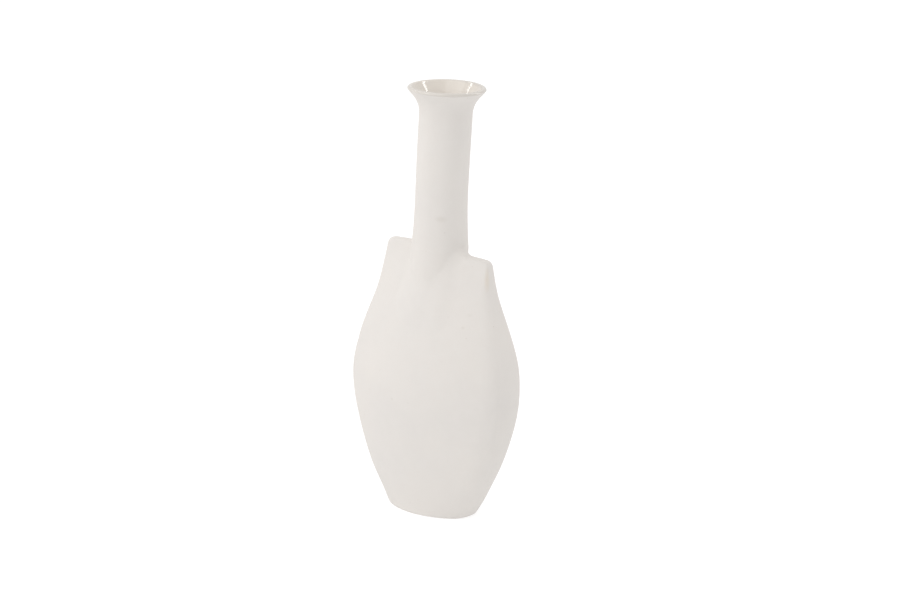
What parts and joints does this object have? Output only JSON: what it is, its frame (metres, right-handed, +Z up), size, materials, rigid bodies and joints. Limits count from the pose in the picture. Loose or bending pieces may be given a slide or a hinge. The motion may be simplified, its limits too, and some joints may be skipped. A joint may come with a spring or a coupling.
{
  "type": "ceramic bud vase",
  "caption": "Flattened, round-bellied bottle vase with thin flat-topped shoulders beside a tall round neck and a flared lip, matt outside and glazed inside, to hold a stem or two.",
  "frame": {"origin": "centre of the foot, on the plane that the foot ring stands on", "axes": "+Z up through the neck, +X along the wide face to the right-hand shoulder, the front face looks along -Y"},
  "size_m": [0.1162, 0.0604, 0.26],
  "materials": {
    "bisque": "matt, unglazed, fine dry grain",
    "slip": "matt, fired clay slip",
    "glaze": "clear gloss over warm white clay"
  },
  "bodies": {
    "root": {"body_casting": "bisque", "neck_casting": "bisque", "luting_slip": "slip", "lining_glaze": "glaze"}
  },
  "joints": []
}
